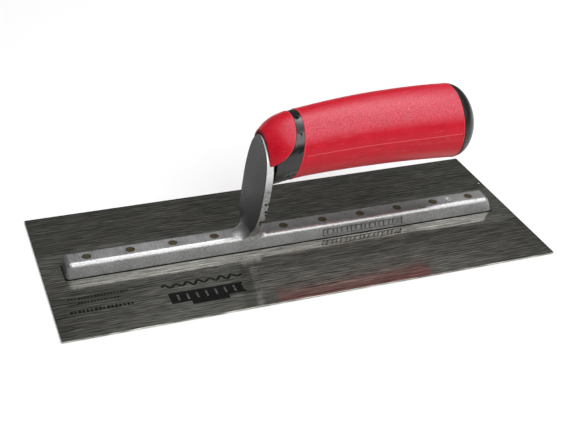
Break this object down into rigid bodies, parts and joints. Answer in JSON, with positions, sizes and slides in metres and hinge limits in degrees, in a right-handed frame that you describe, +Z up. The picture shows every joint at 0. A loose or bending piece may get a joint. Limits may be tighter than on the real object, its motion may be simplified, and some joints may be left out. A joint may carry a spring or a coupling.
{
  "type": "finishing trowel",
  "caption": "Finishing trowel with a thin rectangular steel blade riveted to a cast aluminium mounting bar, whose leaf-shaped shank carries a curved soft-grip handle.",
  "frame": {"origin": "centre of the blade's underside, the working face", "axes": "+X along the blade from toe to heel, +Y across the blade, +Z up from the working face towards the handle"},
  "size_m": [0.28, 0.12, 0.0844],
  "materials": {
    "blade_steel": "cold-rolled carbon steel, brushed along its length",
    "cast_aluminium": "tumbled casting with a ground top and shank front",
    "rivet_metal": "tarnished, ground flush",
    "black_plastic": "moulded, semi-gloss",
    "red_grip": "satin soft-touch moulding",
    "zinc_steel": "zinc plated"
  },
  "bodies": {
    "root": {"blade": "blade_steel", "mounting": "cast_aluminium", "blade_rivets": "rivet_metal", "handle_core": "black_plastic", "main_grip": "red_grip", "thumb_grip": "red_grip", "end_cap": "black_plastic", "tang_washer": "zinc_steel", "tang_screw": "zinc_steel"}
  },
  "joints": []
}
